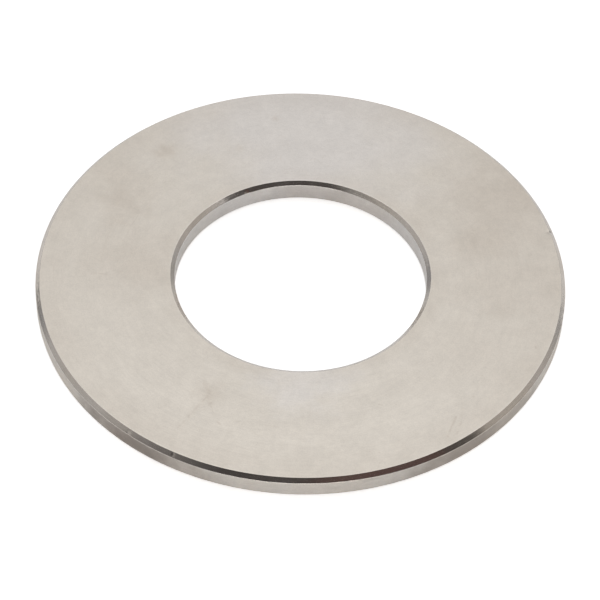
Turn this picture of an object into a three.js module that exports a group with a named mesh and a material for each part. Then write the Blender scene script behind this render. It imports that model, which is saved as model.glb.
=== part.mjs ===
// Flat washer, turned all over: one flat ring with both faces square to the bore and every
// edge chamfered. Millimetres, +Z up. The bore's axis is Z, and the underside lies on Z = 0.

import * as THREE from "three";

// Driving dimensions. The two faces are alike, so each chamfer is cut on both of them.
const OUTER_DIAMETER = 65;
const BORE_DIAMETER = 31;
const THICKNESS = 3;
const RIM_CHAMFER_WIDTH = 0.5;
const RIM_CHAMFER_DEPTH = 0.5;
const BORE_CHAMFER_WIDTH = 0.5;
const BORE_CHAMFER_DEPTH = 0.4;

// Facets round the ring: a multiple of four, so that its full diameter lies on X and on Y.
const FACETS = 180;

const STEEL = new THREE.MeshStandardMaterial({
  color: 0xc6bfb6,
  roughness: 0.36,
  metalness: 1,
});

// The closed outline of the ring's section, as [radius, height] corners in order: out along the
// underside, up the rim, back along the top and down the bore.
function sectionOutline() {
  const rim = OUTER_DIAMETER / 2;
  const bore = BORE_DIAMETER / 2;
  const faceOuter = rim - RIM_CHAMFER_WIDTH;
  const faceInner = bore + BORE_CHAMFER_WIDTH;
  const corners = [
    [faceInner, 0],
    [faceOuter, 0],
    [rim, RIM_CHAMFER_DEPTH],
    [rim, THICKNESS - RIM_CHAMFER_DEPTH],
    [faceOuter, THICKNESS],
    [faceInner, THICKNESS],
    [bore, THICKNESS - BORE_CHAMFER_DEPTH],
    [bore, BORE_CHAMFER_DEPTH],
    [faceInner, 0],
  ];
  return corners.map(([radius, height]) => new THREE.Vector2(radius, height));
}

// The ring, revolved about Y as a lathe geometry is, and then stood up on Z.
function makeWasher() {
  const ring = new THREE.Mesh(new THREE.LatheGeometry(sectionOutline(), FACETS), STEEL);
  ring.name = "washer";
  ring.rotation.x = Math.PI / 2;
  return ring;
}

const flatWasher = new THREE.Group();
flatWasher.name = "flat_washer";
flatWasher.add(makeWasher());

export default flatWasher;
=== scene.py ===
"""A flat steel washer, turned all over, lying on a pale floor under soft studio light."""

import logging
import math
from dataclasses import dataclass
from enum import Enum
from typing import Any

import bpy
import numpy as np
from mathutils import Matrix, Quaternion, Vector


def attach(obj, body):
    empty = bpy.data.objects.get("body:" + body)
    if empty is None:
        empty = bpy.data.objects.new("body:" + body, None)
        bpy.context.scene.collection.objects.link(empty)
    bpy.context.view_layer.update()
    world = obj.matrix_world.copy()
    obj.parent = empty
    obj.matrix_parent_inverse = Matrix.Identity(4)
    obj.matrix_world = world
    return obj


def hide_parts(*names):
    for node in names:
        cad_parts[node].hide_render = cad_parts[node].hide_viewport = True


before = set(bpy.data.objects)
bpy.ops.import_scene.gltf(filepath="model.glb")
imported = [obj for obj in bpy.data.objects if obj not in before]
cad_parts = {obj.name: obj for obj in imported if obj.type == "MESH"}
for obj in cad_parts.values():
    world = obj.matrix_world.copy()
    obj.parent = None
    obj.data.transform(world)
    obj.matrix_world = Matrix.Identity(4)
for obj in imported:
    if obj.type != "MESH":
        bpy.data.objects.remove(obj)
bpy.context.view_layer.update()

LOG = logging.getLogger("flat_washer")
NODE = "washer"
BODY = "root"
MM = 0.001
SAME_PLACE = 0.01 * MM
FAR_OFF_MM = 100.0

Colour = tuple[float, float, float]
Point = tuple[float, float, float]


# ---------------------------------------------------------------- wiring helper


class Wiring:
    """A shader node tree being wired: each method adds one node and returns what it gives."""

    def __init__(self, tree: bpy.types.NodeTree) -> None:
        """Starts from an empty tree.

        Args:
            tree: the material's, world's or group's node tree.
        """
        self.tree = tree
        tree.nodes.clear()

    def node(self, kind: str, **settings: Any) -> bpy.types.Node:
        """Adds a node.

        Args:
            kind: Blender's name for the node type.
            settings: the node's own properties.

        Returns:
            The new node.
        """
        made = self.tree.nodes.new(kind)
        for name, value in settings.items():
            setattr(made, name, value)
        return made

    def feed(self, socket: bpy.types.NodeSocket, value: Any) -> None:
        """Links a socket to an output, or sets its own value.

        Args:
            socket: the input to feed.
            value: another node's output, or a plain value.
        """
        if isinstance(value, bpy.types.NodeSocket):
            self.tree.links.new(value, socket)
        else:
            socket.default_value = value

    def math(self, operation: str, *values: Any, clamp: bool = False) -> bpy.types.NodeSocket:
        """Works out one number.

        Args:
            operation: the Math node's operation.
            values: its inputs in order.
            clamp: whether the result stays between 0 and 1.

        Returns:
            The result.
        """
        made = self.node("ShaderNodeMath", operation=operation, use_clamp=clamp)
        for socket, value in zip(made.inputs, values):
            self.feed(socket, value)
        return made.outputs[0]

    def vector(self, operation: str, *values: Any, scale: Any = None) -> bpy.types.NodeSocket:
        """Works out one vector, or a length or dot product.

        Args:
            operation: the Vector Math node's operation.
            values: its vector inputs in order.
            scale: the factor of a SCALE.

        Returns:
            The result.
        """
        made = self.node("ShaderNodeVectorMath", operation=operation)
        for socket, value in zip(made.inputs, values):
            self.feed(socket, value)
        if scale is not None:
            self.feed(made.inputs["Scale"], scale)
        gives_number = operation in ("LENGTH", "DISTANCE", "DOT_PRODUCT")
        return made.outputs["Value" if gives_number else "Vector"]

    def parts(self, vector: Any) -> tuple[bpy.types.NodeSocket, ...]:
        """Splits a vector.

        Args:
            vector: the vector.

        Returns:
            Its X, Y and Z.
        """
        made = self.node("ShaderNodeSeparateXYZ")
        self.feed(made.inputs[0], vector)
        return tuple(made.outputs)

    def joined(self, x: Any, y: Any, z: Any) -> bpy.types.NodeSocket:
        """Makes a vector.

        Args:
            x: its X.
            y: its Y.
            z: its Z.

        Returns:
            The vector.
        """
        made = self.node("ShaderNodeCombineXYZ")
        for socket, value in zip(made.inputs, (x, y, z)):
            self.feed(socket, value)
        return made.outputs[0]

    def noise(
        self, at: Any, scale: float, detail: float = 2.0, rough: float = 0.55
    ) -> bpy.types.NodeSocket:
        """Reads smooth noise.

        Args:
            at: where to read it.
            scale: its features per unit.
            detail: how many finer layers it has.
            rough: how strong the finer layers are.

        Returns:
            A number from 0 to 1, near 0.5 on average.
        """
        made = self.node("ShaderNodeTexNoise", noise_dimensions="3D")
        self.feed(made.inputs["Vector"], at)
        made.inputs["Scale"].default_value = scale
        made.inputs["Detail"].default_value = detail
        made.inputs["Roughness"].default_value = rough
        return made.outputs["Fac"]

    def ramp(
        self, value: Any, start: Any, end: Any, low: Any = 0.0, high: Any = 1.0
    ) -> bpy.types.NodeSocket:
        """Turns a range of values smoothly into another.

        Args:
            value: the value read.
            start: where the result is low.
            end: where the result is high.
            low: the result at start.
            high: the result at end.

        Returns:
            The result, held between low and high.
        """
        made = self.node("ShaderNodeMapRange", interpolation_type="SMOOTHSTEP")
        for socket, entry in zip(made.inputs, (value, start, end, low, high)):
            self.feed(socket, entry)
        return made.outputs[0]

    def mixed(self, share: Any, a: Any, b: Any, blend: str = "MIX") -> bpy.types.NodeSocket:
        """Mixes two colours.

        Args:
            share: how much of the second shows.
            a: the first colour.
            b: the second colour.
            blend: how they mix.

        Returns:
            The colour.
        """
        made = self.node("ShaderNodeMix", data_type="RGBA", blend_type=blend)
        inputs = [s for s in made.inputs if s.type == "RGBA"]
        self.feed(made.inputs["Factor"], share)
        self.feed(inputs[0], opaque(a))
        self.feed(inputs[1], opaque(b))
        return next(s for s in made.outputs if s.type == "RGBA")

    def placed(self, group: bpy.types.NodeTree, **values: Any) -> bpy.types.Node:
        """Places a node group.

        Args:
            group: the group's tree.
            values: its inputs, an underscore standing for a space in a name.

        Returns:
            The group's node.
        """
        made = self.node("ShaderNodeGroup", node_tree=group, label=group.name)
        for name, value in values.items():
            self.feed(made.inputs[name.replace("_", " ")], value)
        return made


def opaque(colour: Any) -> Any:
    """Gives a plain colour its alpha, and leaves a socket as it is."""
    return (*colour, 1.0) if isinstance(colour, tuple) and len(colour) == 3 else colour


class Kind(Enum):
    """What a node group's socket carries."""

    NUMBER = "NodeSocketFloat"
    VECTOR = "NodeSocketVector"


class GroupMaker:
    """A shader node group being made, with its named inputs and outputs."""

    def __init__(self, name: str) -> None:
        """Starts an empty group.

        Args:
            name: the group's name.
        """
        self.tree = bpy.data.node_groups.new(name, "ShaderNodeTree")
        self.wires = Wiring(self.tree)
        self.source = self.wires.node("NodeGroupInput")
        self.sink = self.wires.node("NodeGroupOutput")

    def takes(self, name: str, kind: Kind = Kind.NUMBER, value: Any = None) -> bpy.types.NodeSocket:
        """Adds an input.

        Args:
            name: the input's name.
            kind: what it carries.
            value: its value where nothing is linked.

        Returns:
            The input, as the group's own nodes read it.
        """
        made = self.tree.interface.new_socket(name, in_out="INPUT", socket_type=kind.value)
        if value is not None:
            made.default_value = value
        return self.source.outputs[name]

    def gives(self, name: str, value: bpy.types.NodeSocket, kind: Kind = Kind.NUMBER) -> None:
        """Adds an output.

        Args:
            name: the output's name.
            value: what it gives.
            kind: what it carries.
        """
        self.tree.interface.new_socket(name, in_out="OUTPUT", socket_type=kind.value)
        self.wires.feed(self.sink.inputs[name], value)


# ---------------------------------------------------------------- shared effects


class Effects:
    """The node groups that the steel's finishes share."""

    def __init__(self) -> None:
        """Makes each group once."""
        self.place = self._place_on_ring()
        self.lay = self._turned_lay()
        self.drift = self._tone_drift()
        self.smudge_or_shade = self._smudge_or_shade_patch()
        self.scratch = self._scratch()
        self.hairlines = self._hairlines()
        self.specks = self._specks()
        self.wear = self._edge_wear()

    @staticmethod
    def _place_on_ring() -> bpy.types.NodeTree:
        """Where a point lies on the ring, in millimetres, and which way the tool's lay runs there.

        Returns:
            The group.
        """
        made = GroupMaker("Place on ring")
        w = made.wires
        at = w.vector("SCALE", w.node("ShaderNodeTexCoord").outputs["Object"], scale=1 / MM)
        flat = w.vector("MULTIPLY", at, (1.0, 1.0, 0.0))
        around = w.vector("NORMALIZE", flat)
        along = w.vector("CROSS_PRODUCT", (0.0, 0.0, 1.0), around)
        normal = w.node("ShaderNodeNewGeometry").outputs["Normal"]
        across = w.vector("NORMALIZE", w.vector("CROSS_PRODUCT", along, normal))
        made.gives("Place", at, Kind.VECTOR)
        made.gives("Radius", w.vector("LENGTH", flat))
        made.gives("Height", w.parts(at)[2])
        made.gives("Around", around, Kind.VECTOR)
        made.gives("Across", across, Kind.VECTOR)
        made.gives("Normal", normal, Kind.VECTOR)
        return made.tree

    @staticmethod
    def _turned_lay() -> bpy.types.NodeTree:
        """Fine grooves that run round the ring: they tip the normal across the lay.

        Returns:
            The group.
        """
        made = GroupMaker("Turned lay")
        w = made.wires
        around = made.takes("Around", Kind.VECTOR)
        across = made.takes("Across", Kind.VECTOR)
        normal = made.takes("Normal", Kind.VECTOR)
        position = made.takes("Position")
        pitch = made.takes("Pitch", value=0.2)
        streaks = made.takes("Streaks", value=6.0)
        slope = made.takes("Slope", value=0.1)
        step = w.math("DIVIDE", position, pitch)
        at = w.vector("ADD", w.vector("SCALE", around, scale=streaks), w.joined(0.0, 0.0, step))
        tone = w.noise(at, 1.0, detail=2.0, rough=0.6)
        tilt = w.math("MULTIPLY", w.math("MULTIPLY_ADD", tone, 2.0, -1.0), slope)
        tipped = w.vector("NORMALIZE", w.vector("ADD", normal, w.vector("SCALE", across, scale=tilt)))
        made.gives("Tone", tone)
        made.gives("Normal", tipped, Kind.VECTOR)
        return made.tree

    @staticmethod
    def _tone_drift() -> bpy.types.NodeTree:
        """Soft uneven changes of tone over bare metal, about 0.5 on average.

        Returns:
            The group.
        """
        made = GroupMaker("Tone drift")
        w = made.wires
        place = made.takes("Place", Kind.VECTOR)
        size = made.takes("Size", value=12.0)
        seed = made.takes("Seed", value=0.0)
        shift = w.joined(seed, w.math("MULTIPLY", seed, 1.7), seed)
        at = w.vector("ADD", w.vector("SCALE", place, scale=w.math("DIVIDE", 1.0, size)), shift)
        made.gives("Tone", w.ramp(w.noise(at, 1.0, detail=3.0, rough=0.5), 0.28, 0.72))
        return made.tree

    @staticmethod
    def _smudge_or_shade_patch() -> bpy.types.NodeTree:
        """One soft, uneven patch, as a mask, used for smudges left by a finger and for patches of painted
        shade and painted dark reflection.

        Returns:
            The group.
        """
        made = GroupMaker("Smudge or painted shade")
        w = made.wires
        place = made.takes("Place", Kind.VECTOR)
        centre = made.takes("Centre", Kind.VECTOR)
        reach = made.takes("Reach", value=3.0)
        far = w.math("DIVIDE", w.vector("DISTANCE", place, centre), reach)
        near = w.vector("SCALE", place, scale=w.math("DIVIDE", 2.2, reach))
        torn = w.math("MULTIPLY_ADD", w.noise(near, 1.0, detail=4.0, rough=0.6), 1.6, -0.8)
        made.gives("Mask", w.ramp(w.math("ADD", far, torn), 1.1, 0.0))
        return made.tree

    @staticmethod
    def _scratch() -> bpy.types.NodeTree:
        """One straight fine scratch from a start to an end, as a mask that comes and goes.

        Returns:
            The group.
        """
        made = GroupMaker("Scratch")
        w = made.wires
        place = made.takes("Place", Kind.VECTOR)
        start = made.takes("Start", Kind.VECTOR)
        end = made.takes("End", Kind.VECTOR)
        width = made.takes("Width", value=0.08)
        run = w.vector("SUBTRACT", end, start)
        out = w.vector("SUBTRACT", place, start)
        whole = w.vector("DOT_PRODUCT", run, run)
        share = w.math("DIVIDE", w.vector("DOT_PRODUCT", out, run), whole, clamp=True)
        far = w.vector("LENGTH", w.vector("SUBTRACT", out, w.vector("SCALE", run, scale=share)))
        line = w.ramp(w.math("DIVIDE", far, width), 1.0, 0.2)
        fading = w.ramp(w.noise(place, 1.6, detail=2.0), 0.35, 0.6)
        made.gives("Mask", w.math("MULTIPLY", line, fading))
        return made.tree

    @staticmethod
    def _hairlines() -> bpy.types.NodeTree:
        """Many short hairline scratches that run roughly one way, as a mask.

        Returns:
            The group.
        """
        made = GroupMaker("Hairlines")
        w = made.wires
        place = made.takes("Place", Kind.VECTOR)
        turn = made.takes("Turn", value=0.0)
        length = made.takes("Length", value=3.0)
        width = made.takes("Width", value=0.1)
        share = made.takes("Share", value=0.45)
        swing = w.math("MULTIPLY_ADD", w.noise(place, 0.12, detail=1.0), 1.6, w.math("ADD", turn, -0.8))
        x, y, z = w.parts(place)
        sine, cosine = w.math("SINE", swing), w.math("COSINE", swing)
        along = w.math("ADD", w.math("MULTIPLY", x, cosine), w.math("MULTIPLY", y, sine))
        aside = w.math("SUBTRACT", w.math("MULTIPLY", y, cosine), w.math("MULTIPLY", x, sine))
        deep = w.math("DIVIDE", z, length)
        at = w.joined(w.math("DIVIDE", along, length), w.math("DIVIDE", aside, width), deep)
        edge = w.math("MULTIPLY_ADD", share, -0.3, 0.8)
        line = w.noise(at, 1.0, detail=1.0, rough=0.4)
        made.gives("Mask", w.ramp(line, edge, w.math("ADD", edge, 0.08)))
        return made.tree

    @staticmethod
    def _specks() -> bpy.types.NodeTree:
        """Sparse tiny pits and specks of dirt, as a mask.

        Returns:
            The group.
        """
        made = GroupMaker("Specks")
        w = made.wires
        place = made.takes("Place", Kind.VECTOR)
        spacing = made.takes("Spacing", value=2.0)
        size = made.takes("Size", value=0.15)
        cells = w.node("ShaderNodeTexVoronoi", feature="F1")
        cells.inputs["Scale"].default_value = 1.0
        w.feed(cells.inputs["Vector"], w.vector("SCALE", place, scale=w.math("DIVIDE", 1.0, spacing)))
        far = w.math("DIVIDE", w.math("MULTIPLY", cells.outputs["Distance"], spacing), size)
        chosen = w.parts(cells.outputs["Color"])[0]
        made.gives("Mask", w.math("MULTIPLY", w.ramp(far, 1.0, 0.4), w.ramp(chosen, 0.5, 1.0)))
        return made.tree

    @staticmethod
    def _edge_wear() -> bpy.types.NodeTree:
        """A rubbed line that follows an edge and breaks up away from it, as a mask.

        Returns:
            The group.
        """
        made = GroupMaker("Edge wear")
        w = made.wires
        place = made.takes("Place", Kind.VECTOR)
        far = made.takes("Distance")
        reach = made.takes("Reach", value=0.2)
        torn = w.ramp(w.noise(place, 1.3, detail=3.0, rough=0.6), 0.3, 0.7, 0.25, 1.0)
        made.gives("Mask", w.ramp(w.math("DIVIDE", far, w.math("MULTIPLY", reach, torn)), 1.0, 0.0))
        return made.tree


# ---------------------------------------------------------------- the ring's section


@dataclass(frozen=True)
class Section:
    """The ring's section as packed, in metres: its radii, and heights above the frame's origin."""

    bore: float
    rim: float
    face_inner: float
    face_outer: float
    low: float
    high: float
    rim_land: tuple[float, float]
    bore_land: tuple[float, float]

    @classmethod
    def of_node(cls, node: bpy.types.Object) -> "Section":
        """Reads the section from a packed ring.

        Args:
            node: the CAD node.

        Returns:
            Its section.
        """
        count = len(node.data.vertices)
        places = np.empty(count * 3)
        node.data.vertices.foreach_get("co", places)
        x, y, height = places.reshape(-1, 3).T
        radius = np.hypot(x, y)
        on_top = height > height.max() - SAME_PLACE
        on_rim = radius > radius.max() - SAME_PLACE
        in_bore = radius < radius.min() + SAME_PLACE
        return cls(
            bore=float(radius.min()),
            rim=float(radius.max()),
            face_inner=float(radius[on_top].min()),
            face_outer=float(radius[on_top].max()),
            low=float(height.min()),
            high=float(height.max()),
            rim_land=(float(height[on_rim].min()), float(height[on_rim].max())),
            bore_land=(float(height[in_bore].min()), float(height[in_bore].max())),
        )


class Surface(Enum):
    """The ring's surfaces, each with its own finish. The value is the mesh's material index."""

    FACE = 0
    RIM_CHAMFER = 1
    RIM = 2
    BORE_CHAMFER = 3
    BORE = 4


@dataclass(frozen=True)
class Nick:
    """A small dent in an edge: its bearing from the front in degrees, and the rest in metres."""

    bearing: float
    radius: float
    height: float
    reach: float
    depth: float


@dataclass
class RingShape:
    """The washer's fine shape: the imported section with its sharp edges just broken, revolved."""

    section: Section
    nicks: tuple[Nick, ...] = ()
    clearance: float = 0.0005 * MM
    edge_round: float = 0.06 * MM
    round_steps: int = 4
    insets: tuple[float, ...] = (0.02 * MM, 0.1 * MM, 0.2 * MM, 0.36 * MM, 0.6 * MM, 1.0 * MM)
    inset_limit: float = 0.45
    turns: int = 720
    nick_turns: int = 16
    nick_spread: float = 2.0
    bearing_digits: int = 7

    def corners(self) -> list[tuple[float, float, Surface]]:
        """Lists the section's corners.

        Returns:
            The corners in order, as radius, height and the surface that starts there.
        """
        s = self.section
        low, high, rim = s.low + self.clearance, s.high - self.clearance, s.rim - self.clearance
        return [
            (s.face_inner, low, Surface.FACE),
            (s.face_outer, low, Surface.RIM_CHAMFER),
            (rim, s.rim_land[0], Surface.RIM),
            (rim, s.rim_land[1], Surface.RIM_CHAMFER),
            (s.face_outer, high, Surface.FACE),
            (s.face_inner, high, Surface.BORE_CHAMFER),
            (s.bore, s.bore_land[1], Surface.BORE),
            (s.bore, s.bore_land[0], Surface.BORE_CHAMFER),
        ]

    def rounded(self, before: Vector, corner: Vector, after: Vector) -> list[Vector]:
        """Rounds one corner of the section.

        Args:
            before: the corner before it.
            corner: the corner.
            after: the corner after it.

        Returns:
            The points of its arc, in order.
        """
        arrive = (corner - before).normalized()
        leave = (after - corner).normalized()
        first = Vector((arrive.y, -arrive.x))
        last = Vector((leave.y, -leave.x))
        turn = first.angle(last)
        centre = corner - (first + last).normalized() * (self.edge_round / math.cos(turn / 2))
        shares = [k / self.round_steps for k in range(self.round_steps + 1)]
        return [centre + self.edge_round * first.slerp(last, share) for share in shares]

    def walk(self, start: Vector, end: Vector) -> list[Vector]:
        """Divides one straight side of the section, more closely towards its ends.

        Args:
            start: where the side starts, at the end of an arc.
            end: where it ends, at the start of the next arc.

        Returns:
            The points between the two.
        """
        run = end - start
        limit = self.inset_limit * run.length
        near = [inset / run.length for inset in self.insets if inset < limit]
        return [start + run * share for share in near + [1 - share for share in reversed(near)]]

    def outline(self) -> tuple[np.ndarray, list[Surface]]:
        """The rounded section.

        Returns:
            Its points as (radius, height), and the surface that starts at each.
        """
        corners = self.corners()
        places = [Vector((radius, height)) for radius, height, _ in corners]
        arcs = [
            self.rounded(places[k - 1], places[k], places[(k + 1) % len(places)])
            for k in range(len(places))
        ]
        points: list[Vector] = []
        surfaces: list[Surface] = []
        for k, arc in enumerate(arcs):
            arriving, leaving = corners[k - 1][2], corners[k][2]
            side = self.walk(arc[-1], arcs[(k + 1) % len(arcs)][0])
            points += arc + side
            half = self.round_steps // 2
            surfaces += [arriving] * half + [leaving] * (len(arc) - half + len(side))
        return np.array([tuple(point) for point in points]), surfaces

    def bearings(self) -> np.ndarray:
        """Spaces the section's copies round the ring, closer together at each nick.

        Returns:
            Their bearings in order, in radians.
        """
        even = np.arange(self.turns) * 2 * math.pi / self.turns
        spread = np.linspace(-self.nick_spread, self.nick_spread, self.nick_turns)
        close = [math.radians(nick.bearing) + spread * nick.reach / nick.radius for nick in self.nicks]
        turns = np.mod(np.concatenate([even, *close]), 2 * math.pi)
        return np.unique(turns.round(self.bearing_digits))

    def dented(self, places: np.ndarray) -> np.ndarray:
        """Presses the nicks into the ring.

        Args:
            places: the ring's points.

        Returns:
            The points, moved towards the middle of the ring's section at each nick.
        """
        s = self.section
        for nick in self.nicks:
            turn = math.radians(nick.bearing)
            out = np.array([math.sin(turn), -math.cos(turn), 0.0])
            at = out * nick.radius + np.array([0.0, 0.0, nick.height])
            side = 1.0 if nick.radius < (s.bore + s.rim) / 2 else -1.0
            rise = 1.0 if nick.height < (s.low + s.high) / 2 else -1.0
            inward = (out * side + np.array([0.0, 0.0, rise])) / math.sqrt(2)
            far = np.linalg.norm(places - at, axis=1) / nick.reach
            places = places + (nick.depth * np.exp(-far**2))[:, None] * inward
        return places

    def build(self, name: str) -> bpy.types.Object:
        """Revolves the outline into one closed mesh.

        Args:
            name: the piece's name.

        Returns:
            The piece, with one material index for each surface.
        """
        outline, surfaces = self.outline()
        turn = self.bearings()
        count, copies = len(outline), len(turn)
        radius, height = outline[:, 0], outline[:, 1]
        x = np.sin(turn)[:, None] * radius
        y = -np.cos(turn)[:, None] * radius
        z = np.broadcast_to(height, x.shape)
        places = self.dented(np.stack([x, y, z], axis=-1).reshape(-1, 3))
        here = np.arange(copies)[:, None] * count + np.arange(count)
        beside = np.roll(here, -1, axis=0)
        sides = [here, beside, np.roll(beside, -1, axis=1), np.roll(here, -1, axis=1)]
        quads = np.stack(sides, axis=-1)
        mesh = bpy.data.meshes.new(name)
        mesh.from_pydata(places.tolist(), [], quads.reshape(-1, 4).tolist())
        index = np.tile([surface.value for surface in surfaces], copies)
        for _ in Surface:
            mesh.materials.append(None)
        mesh.polygons.foreach_set("material_index", index.astype(np.int32))
        mesh.polygons.foreach_set("use_smooth", np.ones(len(index), dtype=bool))
        mesh.update()
        piece = bpy.data.objects.new(name, mesh)
        bpy.context.scene.collection.objects.link(piece)
        return piece


# ---------------------------------------------------------------- finishes


@dataclass(frozen=True)
class Lay:
    """One scale of the tool's grooves: pitch in millimetres, streaks in a turn, slope and tone."""

    pitch: float
    streaks: float
    slope: float
    tone: float = 0.0


@dataclass(frozen=True)
class Drift:
    """One scale of uneven tone: its size in millimetres, its seed and its strength."""

    size: float
    seed: float
    tone: float = 0.0

    def read(self, w: Wiring, effects: Effects, place: bpy.types.Node) -> bpy.types.NodeSocket:
        """The tone at a place on the ring, from 0 to 1."""
        node = w.placed(effects.drift, Place=place.outputs["Place"], Size=self.size, Seed=self.seed)
        return node.outputs["Tone"]


@dataclass(frozen=True)
class SmudgeOrShade:
    """A soft darker patch, used for smudges left by handling and for painted shade and painted dark
    reflections: its centre and reach in millimetres, and its strength.
    """

    centre: Point
    reach: float
    strength: float

    def mask(self, w: Wiring, effects: Effects, place: bpy.types.Node) -> bpy.types.NodeSocket:
        """Finds how strongly the patch covers a place on the ring.

        Args:
            w: the material's wiring.
            effects: the shared node groups.
            place: where on the ring the point lies.

        Returns:
            The patch as a mask, scaled by its strength.
        """
        at = place.outputs["Place"]
        node = w.placed(effects.smudge_or_shade, Place=at, Centre=self.centre, Reach=self.reach)
        return w.math("MULTIPLY", node.outputs["Mask"], self.strength)


@dataclass(frozen=True)
class SteelFinish:
    """Bare turned steel: its colours, gloss and lay. Marks, some of them painted shade and painted dark
    reflections, darken its colour and add dulling to its roughness, and rubbed edges, which reach in by
    so many millimetres, lose the share of it that polish gives."""

    name: str
    warm: Colour = (0.745, 0.693, 0.627)
    cool: Colour = (0.772, 0.733, 0.700)
    dull_or_shade: Colour = (0.600, 0.530, 0.460)
    roughness: float = 0.37
    dulling: float = 0.12
    polish: float = 0.5
    rubbed: float = 0.12
    uneven: Drift = Drift(size=5.0, tone=0.05, seed=8.0)
    patches: Drift = Drift(size=9.0, seed=3.0)
    smudges_and_shade: tuple[SmudgeOrShade, ...] = ()
    lays: tuple[Lay, ...] = (
        Lay(pitch=0.03, streaks=40.0, slope=0.10),
        Lay(pitch=0.22, streaks=9.0, slope=0.014, tone=0.031),
        Lay(pitch=0.60, streaks=5.0, slope=0.007, tone=0.021),
        Lay(pitch=2.2, streaks=2.5, slope=0.006, tone=0.02),
    )
    drifts: tuple[Drift, ...] = (
        Drift(size=0.16, tone=0.035, seed=1.0),
        Drift(size=0.7, tone=0.02, seed=4.0),
        Drift(size=3.0, tone=0.022, seed=9.0),
    )

    def position(self, place: bpy.types.Node) -> bpy.types.NodeSocket:
        """Where the lay is counted from: the radius on a face."""
        return place.outputs["Radius"]

    def edges(self, section: Section) -> tuple[float, ...]:
        """Where this surface's edges lie, in metres, counted as the lay is."""
        return (section.face_inner, section.face_outer)

    def warmth_and_sheen(self, w: Wiring, effects: Effects, place: bpy.types.Node) -> Any:
        """How warm the steel looks, from 0 to 1."""
        return self.patches.read(w, effects, place)

    def marks_and_shade(self, w: Wiring, effects: Effects, place: bpy.types.Node) -> list[bpy.types.NodeSocket]:
        """The dulling marks that this surface carries, as masks: its smudges, some of which are painted
        shade and painted dark reflections.
        """
        return [smudge_or_shade.mask(w, effects, place) for smudge_or_shade in self.smudges_and_shade]

    def grooved(self, w: Wiring, effects: Effects, place: bpy.types.Node) -> tuple[Any, Any]:
        """Lays the tool's grooves over the surface.

        Args:
            w: the material's wiring.
            effects: the shared node groups.
            place: where on the ring the point lies.

        Returns:
            The normal, and the shade from 0 to about 1.
        """
        normal, shade = place.outputs["Normal"], 1.0
        for lay in self.lays:
            grooves = w.placed(
                effects.lay,
                Around=place.outputs["Around"],
                Across=place.outputs["Across"],
                Normal=normal,
                Position=self.position(place),
                Pitch=lay.pitch,
                Streaks=lay.streaks,
                Slope=lay.slope,
            )
            normal = grooves.outputs["Normal"]
            if lay.tone:
                part = w.math("MULTIPLY_ADD", grooves.outputs["Tone"], 2 * lay.tone, 1 - lay.tone)
                shade = w.math("MULTIPLY", shade, part)
        for drift in self.drifts:
            soft = drift.read(w, effects, place)
            part = w.math("MULTIPLY_ADD", soft, 2 * drift.tone, 1 - drift.tone)
            shade = w.math("MULTIPLY", shade, part)
        return normal, shade

    def worn(self, w: Wiring, effects: Effects, place: bpy.types.Node, section: Section) -> Any:
        """Finds where the surface is rubbed bright along its edges.

        Args:
            w: the material's wiring.
            effects: the shared node groups.
            place: where on the ring the point lies.
            section: the ring's section.

        Returns:
            The rubbed share, as a mask.
        """
        far: Any = FAR_OFF_MM
        for edge in self.edges(section):
            aside = w.math("ABSOLUTE", w.math("SUBTRACT", self.position(place), edge / MM))
            far = w.math("MINIMUM", far, aside)
        at = place.outputs["Place"]
        return w.placed(effects.wear, Place=at, Distance=far, Reach=self.rubbed).outputs["Mask"]

    def material(self, effects: Effects, section: Section) -> bpy.types.Material:
        """Makes the finish.

        Args:
            effects: the shared node groups.
            section: the ring's section, for what follows its edges.

        Returns:
            The material.
        """
        made = bpy.data.materials.new(self.name)
        made.use_nodes = True
        w = Wiring(made.node_tree)
        place = w.placed(effects.place)
        normal, shade = self.grooved(w, effects, place)
        # On the face the cool colour is lighter than the warm one, so this mix also paints a sheen there:
        # lighter at the back and beside the bore at the front, darker at the sides.
        fresh = w.mixed(self.warmth_and_sheen(w, effects, place), self.cool, self.warm)
        colour = fresh
        matt = self.uneven.read(w, effects, place)
        rough = w.math("MULTIPLY_ADD", matt, self.uneven.tone, self.roughness - self.uneven.tone / 2)
        # Smudges pull the colour towards the dull colour. On the rim, its chamfer, the bore and the face's
        # sides some of them are painted shade and painted dark reflections.
        for mask in self.marks_and_shade(w, effects, place):
            colour = w.mixed(mask, colour, self.dull_or_shade)
            rough = w.math("MULTIPLY_ADD", mask, self.dulling, rough)
        worn = self.worn(w, effects, place, section)
        colour = w.mixed(worn, colour, fresh)
        rough = w.math("MULTIPLY_ADD", worn, -self.polish * self.roughness, rough)
        shaded = w.mixed(1.0, colour, w.joined(shade, shade, shade), "MULTIPLY")
        shader = w.node("ShaderNodeBsdfPrincipled")
        shader.inputs["Metallic"].default_value = 1.0
        w.feed(shader.inputs["Base Color"], shaded)
        w.feed(shader.inputs["Roughness"], rough)
        w.feed(shader.inputs["Normal"], normal)
        w.feed(w.node("ShaderNodeOutputMaterial").inputs["Surface"], shader.outputs[0])
        return made


@dataclass(frozen=True)
class Scratch:
    """A fine scratch: its ends and width in millimetres, and its strength."""

    start: Point
    end: Point
    width: float
    strength: float


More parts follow.
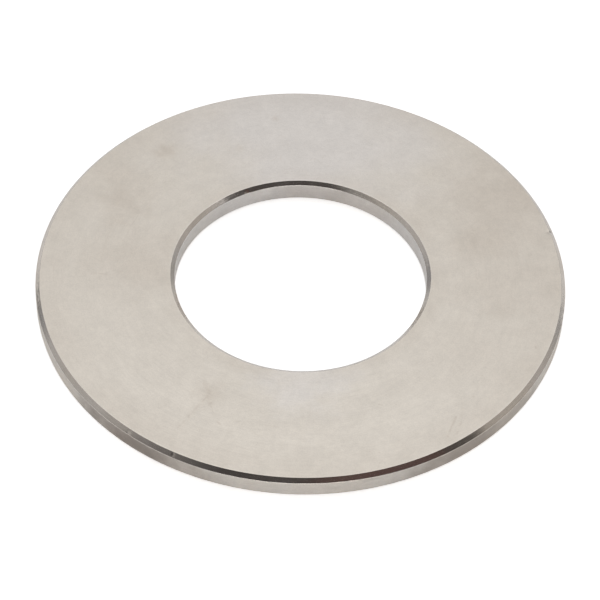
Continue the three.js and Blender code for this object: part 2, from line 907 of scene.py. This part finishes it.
@dataclass(frozen=True)
class FaceFinish(SteelFinish):
    """The faced top and underside: fine concentric lay, handled, with a few scratches, with painted shade
    at its sides and a painted sheen in its tint. Lengths are in millimetres."""

    scratches: tuple[Scratch, ...] = ()
    # The face's tint also paints a sheen: it is kept cool and lighter beside the bore at the front and at
    # the back, and warm and darker at the sides.
    front_tint_and_sheen: SmudgeOrShade = SmudgeOrShade((1.0, -17.0, 3.0), 8.0, 0.8)
    patches: Drift = Drift(size=8.0, seed=3.0)
    patch_reach: float = 8.0
    warm_slant: float = -0.5
    warm_shift: float = -4.0
    warm_range: tuple[float, float] = (-8.0, 12.0)
    hairline_turns: tuple[float, ...] = (0.4, 1.5, 2.6)
    hairline_strength: float = 0.20
    speck_strength: float = 0.35
    # The steel is darker and rougher in a ring beside the rim and in one beside the bore.
    ring_darkening: Drift = Drift(size=6.0, tone=0.22, seed=15.0)
    darkening_by_rim: tuple[float, float] = (26.5, 32.0)
    darkening_by_bore: tuple[float, float] = (18.5, 16.0)

    def warmth_and_sheen(self, w: Wiring, effects: Effects, place: bpy.types.Node) -> Any:
        """Makes the steel cooler at the back and beside the bore, and in soft patches, and warmer at the
        sides. The cool colour is also lighter, so this paints a sheen too: lighter at the back and beside
        the bore at the front, darker at the sides.

        Args:
            w: the material's wiring.
            effects: the shared node groups.
            place: where on the ring the point lies.

        Returns:
            How warm, and so how dark, the steel looks, from 0 to 1.
        """
        x, y, _ = w.parts(place.outputs["Place"])
        aside = w.math("MULTIPLY_ADD", y, self.warm_slant, w.math("ABSOLUTE", x))
        shifted = w.math("ADD", aside, self.warm_shift)
        reach = w.math("MULTIPLY_ADD", self.patches.read(w, effects, place), self.patch_reach, shifted)
        kept = w.math("SUBTRACT", 1.0, self.front_tint_and_sheen.mask(w, effects, place))
        return w.math("MULTIPLY", w.ramp(reach, *self.warm_range), kept)

    def marks_and_shade(self, w: Wiring, effects: Effects, place: bpy.types.Node) -> list[bpy.types.NodeSocket]:
        """Adds the scratches, hairlines, specks and the darker rings beside the rim and the bore to the
        smudges and painted shade.

        Args:
            w: the material's wiring.
            effects: the shared node groups.
            place: where on the ring the point lies.

        Returns:
            Each kind of mark, as masks.
        """
        at = place.outputs["Place"]
        found = [(w.placed(effects.specks, Place=at), self.speck_strength)]
        for scratch in self.scratches:
            ends = {"Start": scratch.start, "End": scratch.end}
            node = w.placed(effects.scratch, Place=at, Width=scratch.width, **ends)
            found.append((node, scratch.strength))
        for turn in self.hairline_turns:
            found.append((w.placed(effects.hairlines, Place=at, Turn=turn), self.hairline_strength))
        masks = [w.math("MULTIPLY", node.outputs["Mask"], strength) for node, strength in found]
        return super().marks_and_shade(w, effects, place) + masks + [self.darker_rings(w, effects, place)]

    def darker_rings(self, w: Wiring, effects: Effects, place: bpy.types.Node) -> bpy.types.NodeSocket:
        """Dulls the steel slightly in a ring beside the rim and in one beside the bore.

        Args:
            w: the material's wiring.
            effects: the shared node groups.
            place: where on the ring the point lies.

        Returns:
            How much the steel is darkened and roughened there, as a mask.
        """
        radius = place.outputs["Radius"]
        uneven = self.ring_darkening.read(w, effects, place)
        outer = w.math("MULTIPLY", w.ramp(radius, *self.darkening_by_rim), w.ramp(uneven, 0.0, 1.0, 0.5, 1.0))
        inner = w.math("MULTIPLY", w.ramp(radius, *self.darkening_by_bore), w.ramp(uneven, 1.0, 0.0, 0.4, 1.0))
        return w.math("MULTIPLY", w.math("MAXIMUM", outer, inner), self.ring_darkening.tone)


@dataclass(frozen=True)
class TurnedFinish(SteelFinish):
    """A turned wall or chamfer, whose lay is counted by height."""

    def position(self, place: bpy.types.Node) -> bpy.types.NodeSocket:
        """Where the lay is counted from: the height."""
        return place.outputs["Height"]


@dataclass(frozen=True)
class RimFinish(TurnedFinish):
    """The rim's straight land."""

    def edges(self, section: Section) -> tuple[float, ...]:
        """Where the land ends, below and above."""
        return section.rim_land


@dataclass(frozen=True)
class BoreFinish(TurnedFinish):
    """The bore's straight land."""

    def edges(self, section: Section) -> tuple[float, ...]:
        """Where the land ends, below and above."""
        return section.bore_land


@dataclass(frozen=True)
class RimChamferFinish(TurnedFinish):
    """The rim's two chamfers."""

    def edges(self, section: Section) -> tuple[float, ...]:
        """Where the chamfers meet the land and the faces."""
        return (section.low, *section.rim_land, section.high)


@dataclass(frozen=True)
class BoreChamferFinish(TurnedFinish):
    """The bore's two chamfers."""

    def edges(self, section: Section) -> tuple[float, ...]:
        """Where the chamfers meet the land and the faces."""
        return (section.low, *section.bore_land, section.high)


# ---------------------------------------------------------------- the washer


@dataclass
class Washer:
    """The flat washer: one ring of turned steel."""

    section: Section
    effects: Effects
    name: str = "washer_ring"

    def nicks(self) -> tuple[Nick, ...]:
        """Lists the small dents in its edges.

        Returns:
            The nicks.
        """
        s = self.section
        return (
            Nick(105.0, s.face_outer, s.high, 0.30 * MM, 0.10 * MM),
            Nick(-37.0, s.rim, s.rim_land[1], 0.25 * MM, 0.06 * MM),
            Nick(-26.0, (s.rim + s.face_outer) / 2, (s.rim_land[1] + s.high) / 2, 0.18 * MM, 0.05 * MM),
            Nick(-153.0, s.bore, s.bore_land[1], 0.26 * MM, 0.09 * MM),
        )

    def on_rim(self, bearing: float, height: float) -> Point:
        """A place on the rim, in millimetres, from its bearing in degrees and its height."""
        turn, rim = math.radians(bearing), self.section.rim / MM
        return (rim * math.sin(turn), -rim * math.cos(turn), height)

    def finishes(self) -> dict[Surface, SteelFinish]:
        """Chooses the finish of each of its surfaces.

        Returns:
            The finishes by surface.
        """
        top = self.section.high / MM
        cut = (
            Lay(pitch=0.02, streaks=60.0, slope=0.10),
            Lay(pitch=0.11, streaks=9.0, slope=0.07, tone=0.06),
            Lay(pitch=0.14, streaks=45.0, slope=0.04, tone=0.08),
        )
        turned = (
            Lay(pitch=0.02, streaks=40.0, slope=1.0),
            Lay(pitch=0.16, streaks=7.0, slope=0.12, tone=0.065),
        )
        return {
            Surface.FACE: FaceFinish(
                name="faced steel",
                smudges_and_shade=(
                    SmudgeOrShade((-17.8, 20.3, top), 1.9, 0.40),
                    SmudgeOrShade((-22.9, 10.6, top), 4.5, 0.28),
                    SmudgeOrShade((-22.5, 14.6, top), 5.5, 0.22),
                    SmudgeOrShade((-10.3, -19.8, top), 2.4, 0.30),
                    # The four broad patches below are painted shade: they darken the face at its sides,
                    # where its sheen is weaker.
                    SmudgeOrShade((24.0, 13.0, top), 11.0, 0.38),
                    SmudgeOrShade((25.0, 0.0, top), 10.0, 0.24),
                    SmudgeOrShade((-20.0, 1.0, top), 9.0, 0.28),
                    SmudgeOrShade((22.0, -12.0, top), 10.0, 0.14),
                    SmudgeOrShade((-3.9, 27.1, top), 0.7, 0.30),
                    SmudgeOrShade((-8.3, 21.4, top), 0.8, 0.25),
                ),
                scratches=(
                    Scratch((-10.9, -18.0, top), (-10.1, -21.4, top), 0.50, 0.24),
                    Scratch((-10.3, -19.8, top), (-14.1, -25.6, top), 0.16, 0.24),
                    Scratch((18.7, -22.2, top), (17.7, -25.2, top), 0.22, 0.42),
                    Scratch((19.3, -22.9, top), (18.8, -24.7, top), 0.20, 0.36),
                    Scratch((19.6, -20.0, top), (19.3, -22.3, top), 0.22, 0.20),
                    Scratch((21.4, -17.4, top), (20.8, -19.0, top), 0.24, 0.22),
                    Scratch((8.2, -20.2, top), (10.2, -20.8, top), 0.14, 0.34),
                    Scratch((-9.3, -23.9, top), (-8.9, -24.4, top), 0.20, 0.34),
                    Scratch((-7.6, -23.7, top), (-6.6, -24.0, top), 0.13, 0.22),
                    Scratch((-3.6, -24.3, top), (-2.0, -24.6, top), 0.14, 0.24),
                    Scratch((-2.4, -17.2, top), (-2.3, -17.5, top), 0.18, 0.40),
                    Scratch((28.4, -10.8, top), (28.5, -11.1, top), 0.22, 0.40),
                    Scratch((29.0, -6.4, top), (29.2, -6.9, top), 0.24, 0.30),
                    Scratch((-25.6, -1.0, top), (-23.8, -1.2, top), 0.18, 0.34),
                    Scratch((-7.9, -14.9, top), (-14.4, -27.0, top), 0.55, 0.07),
                ),
            ),
            Surface.RIM_CHAMFER: RimChamferFinish(
                name="rim chamfer steel",
                dull_or_shade=(0.420, 0.370, 0.350),
                roughness=0.15,
                lays=cut,
                # Painted dark reflection: the chamfer is darkened towards its dull colour at the left end
                # of its dark band.
                smudges_and_shade=(SmudgeOrShade(self.on_rim(-30.5, 2.75), 4.2, 0.55),),
            ),
            Surface.BORE_CHAMFER: BoreChamferFinish(
                name="bore chamfer steel",
                roughness=0.17,
                lays=cut,
            ),
            Surface.RIM: RimFinish(
                name="rim steel",
                warm=(0.795, 0.733, 0.665),
                cool=(0.780, 0.742, 0.697),
                dull_or_shade=(0.340, 0.295, 0.265),
                rubbed=0.28,
                lays=turned,
                # Painted dark reflections: the rim is darkened towards its dull colour to the left and the
                # right of the front.
                smudges_and_shade=(
                    SmudgeOrShade(self.on_rim(-35.5, 2.2), 12.0, 0.88),
                    SmudgeOrShade(self.on_rim(40.0, 1.8), 13.5, 0.66),
                ),
            ),
            Surface.BORE: BoreFinish(
                name="bore steel",
                # Painted light and shade: the bore's colours are lighter than the rest of the steel,
                # standing in for light, and a patch of painted shade darkens its back wall.
                warm=(0.815, 0.770, 0.730),
                cool=(0.835, 0.815, 0.800),
                dull_or_shade=(0.500, 0.460, 0.430),
                lays=turned,
                smudges_and_shade=(SmudgeOrShade((0.0, 15.5, 1.5), 12.0, 0.45),),
            ),
        }

    def build(self) -> bpy.types.Object:
        """Builds the ring and dresses it.

        Returns:
            The piece.
        """
        piece = RingShape(self.section, self.nicks()).build(self.name)
        for surface, finish in self.finishes().items():
            piece.data.materials[surface.value] = finish.material(self.effects, self.section)
        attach(piece, BODY)
        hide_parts(NODE)
        return piece


# ---------------------------------------------------------------- the studio


@dataclass(frozen=True)
class Floor:
    """The pale floor that the washer lies on. It glows a little, and by its lift more to the camera
    alone, as white paper in a light tent does."""

    half: float = 2.0
    colour: Colour = (0.9, 0.9, 0.9)
    glow: float = 0.10
    lift: float = 0.55

    def build(self, height: float) -> bpy.types.Object:
        """Builds the floor.

        Args:
            height: the height of its surface.

        Returns:
            The floor.
        """
        mesh = bpy.data.meshes.new("floor")
        h = self.half
        corners = [(-h, -h, height), (h, -h, height), (h, h, height), (-h, h, height)]
        mesh.from_pydata(corners, [], [(0, 1, 2, 3)])
        made = bpy.data.materials.new("pale floor")
        made.use_nodes = True
        w = Wiring(made.node_tree)
        paint = w.node("ShaderNodeBsdfDiffuse")
        paint.inputs["Color"].default_value = opaque(self.colour)
        glow = w.node("ShaderNodeEmission")
        seen = w.node("ShaderNodeLightPath").outputs["Is Camera Ray"]
        w.feed(glow.inputs["Strength"], w.math("MULTIPLY_ADD", seen, self.lift, self.glow))
        both = w.node("ShaderNodeAddShader")
        w.feed(both.inputs[0], paint.outputs[0])
        w.feed(both.inputs[1], glow.outputs[0])
        w.feed(w.node("ShaderNodeOutputMaterial").inputs["Surface"], both.outputs[0])
        mesh.materials.append(made)
        piece = bpy.data.objects.new("floor", mesh)
        bpy.context.scene.collection.objects.link(piece)
        return piece


@dataclass(frozen=True)
class Panel:
    """A soft-edged patch of the light tent, as seen from the washer: bearings from the front and
    elevations, in degrees, and the light that it sends."""

    middle: float
    half: float
    bottom: float
    top: float
    light: Colour
    left_fade: float = 20.0
    right_fade: float = 20.0
    fade: float = 15.0

    def laid(self, w: Wiring, before: Any, way: tuple[Any, Any, Any], elevation: Any) -> Any:
        """Lays the panel over what the tent already holds.

        Args:
            w: the world's wiring.
            before: the tent's light so far.
            way: the direction looked in, as X, Y and Z.
            elevation: its elevation in degrees.

        Returns:
            The tent's light with this panel.
        """
        x, y, _ = way
        turn = math.radians(self.middle)
        sine, cosine = math.sin(turn), math.cos(turn)
        aside = w.math("ADD", w.math("MULTIPLY", x, cosine), w.math("MULTIPLY", y, sine))
        ahead = w.math("SUBTRACT", w.math("MULTIPLY", x, sine), w.math("MULTIPLY", y, cosine))
        bearing = w.math("DEGREES", w.math("ARCTAN2", aside, ahead))
        edges = (
            w.ramp(bearing, -self.half - self.left_fade, -self.half),
            w.ramp(bearing, self.half + self.right_fade, self.half),
            w.ramp(elevation, self.bottom - self.fade, self.bottom),
            w.ramp(elevation, self.top + self.fade, self.top),
        )
        share = edges[0]
        for edge in edges[1:]:
            share = w.math("MULTIPLY", share, edge)
        return w.mixed(share, before, self.light)


@dataclass(frozen=True)
class LightTent:
    """The white tent round the washer, which lights it from every side, with the panels on it. Its
    light goes from low to high between the two elevations of its rise, in degrees."""

    low: Colour = (0.455, 0.450, 0.446)
    high: Colour = (1.25, 1.25, 1.242)
    rise: tuple[float, float] = (28.0, 67.0)
    backdrop: float = 1.0
    panels: tuple[Panel, ...] = (
        Panel(180.0, 20.0, -5.0, 22.0, (0.66, 0.66, 0.66), 30.0, 30.0, 10.0),
        Panel(-88.0, 24.0, 12.0, 48.0, (0.46, 0.445, 0.43), 20.0, 22.0, 14.0),
        Panel(88.0, 24.0, 12.0, 40.0, (0.44, 0.415, 0.39), 22.0, 20.0, 12.0),
        Panel(-126.0, 8.0, -6.0, 14.0, (0.27, 0.27, 0.275), 12.0, 12.0, 8.0),
        Panel(126.0, 8.0, -6.0, 14.0, (0.36, 0.355, 0.35), 12.0, 12.0, 8.0),
        Panel(0.0, 20.0, 2.0, 14.0, (3.6, 3.5, 3.4), 16.0, 16.0, 5.0),
        Panel(21.0, 49.0, 24.0, 68.0, (0.068, 0.062, 0.060), 62.0, 8.0, 4.0),
        Panel(36.0, 20.0, 28.0, 42.0, (0.100, 0.064, 0.058), 14.0, 5.0, 6.0),
    )

    def build(self) -> None:
        """Makes the world: the tent for the washer, and plain white where the camera sees it."""
        world = bpy.data.worlds.new("light tent")
        world.use_nodes = True
        bpy.context.scene.world = world
        w = Wiring(world.node_tree)
        way = w.parts(w.vector("NORMALIZE", w.node("ShaderNodeTexCoord").outputs["Generated"]))
        elevation = w.math("DEGREES", w.math("ARCSINE", way[2]))
        light = w.mixed(w.ramp(elevation, *self.rise), self.low, self.high)
        for panel in self.panels:
            light = panel.laid(w, light, way, elevation)
        seen = w.node("ShaderNodeLightPath").outputs["Is Camera Ray"]
        glow = w.node("ShaderNodeBackground")
        w.feed(glow.inputs["Color"], w.mixed(seen, light, (self.backdrop,) * 3))
        w.feed(w.node("ShaderNodeOutputWorld").inputs["Surface"], glow.outputs[0])


@dataclass(frozen=True)
class Viewpoint:
    """The camera: angles in degrees, lengths in metres, lens and sensor in millimetres."""

    elevation: float = 47.49
    distance: float = 0.33418
    lens: float = 162.46
    sensor: float = 36.0
    roll: float = 1.736
    aim_ahead: float = 0.00219
    rest: float = 0.0005

    def build(self) -> bpy.types.Object:
        """Builds the camera and makes it the scene's.

        Returns:
            The camera.
        """
        data = bpy.data.cameras.new("camera")
        data.lens, data.sensor_width = self.lens, self.sensor
        made = bpy.data.objects.new("camera", data)
        rise = math.radians(self.elevation)
        back, up = self.distance * math.cos(rise), self.distance * math.sin(rise)
        place = Vector((0.0, -back, up + self.rest))
        aim = Vector((0.0, -self.aim_ahead, self.rest))
        made.location = place
        made.rotation_mode = "QUATERNION"
        turned = Quaternion((0.0, 0.0, 1.0), math.radians(self.roll))
        made.rotation_quaternion = (aim - place).to_track_quat("-Z", "Y") @ turned
        bpy.context.scene.collection.objects.link(made)
        bpy.context.scene.camera = made
        return made


@dataclass
class Studio:
    """The floor, light tent and camera round the washer."""

    floor: Floor
    tent: LightTent
    viewpoint: Viewpoint

    def build(self, height: float) -> None:
        """Builds all of it.

        Args:
            height: where the floor lies.
        """
        self.viewpoint.build()
        self.floor.build(height)
        self.tent.build()
        bpy.context.scene.view_settings.view_transform = "Standard"
        LOG.info("studio: floor, light tent of %d panels, camera", len(self.tent.panels))


def main() -> None:
    """Builds the studio and the washer, and reports each piece."""
    logging.basicConfig(level=logging.INFO, format="%(message)s")
    section = Section.of_node(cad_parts[NODE])
    LOG.info("section read from the frame: %s", section)
    Studio(Floor(), LightTent(), Viewpoint()).build(section.low)
    washer = Washer(section, Effects()).build()
    mesh = washer.data
    LOG.info("%s: %d points, %d faces", washer.name, len(mesh.vertices), len(mesh.polygons))


if __name__ == "__main__":
    main()
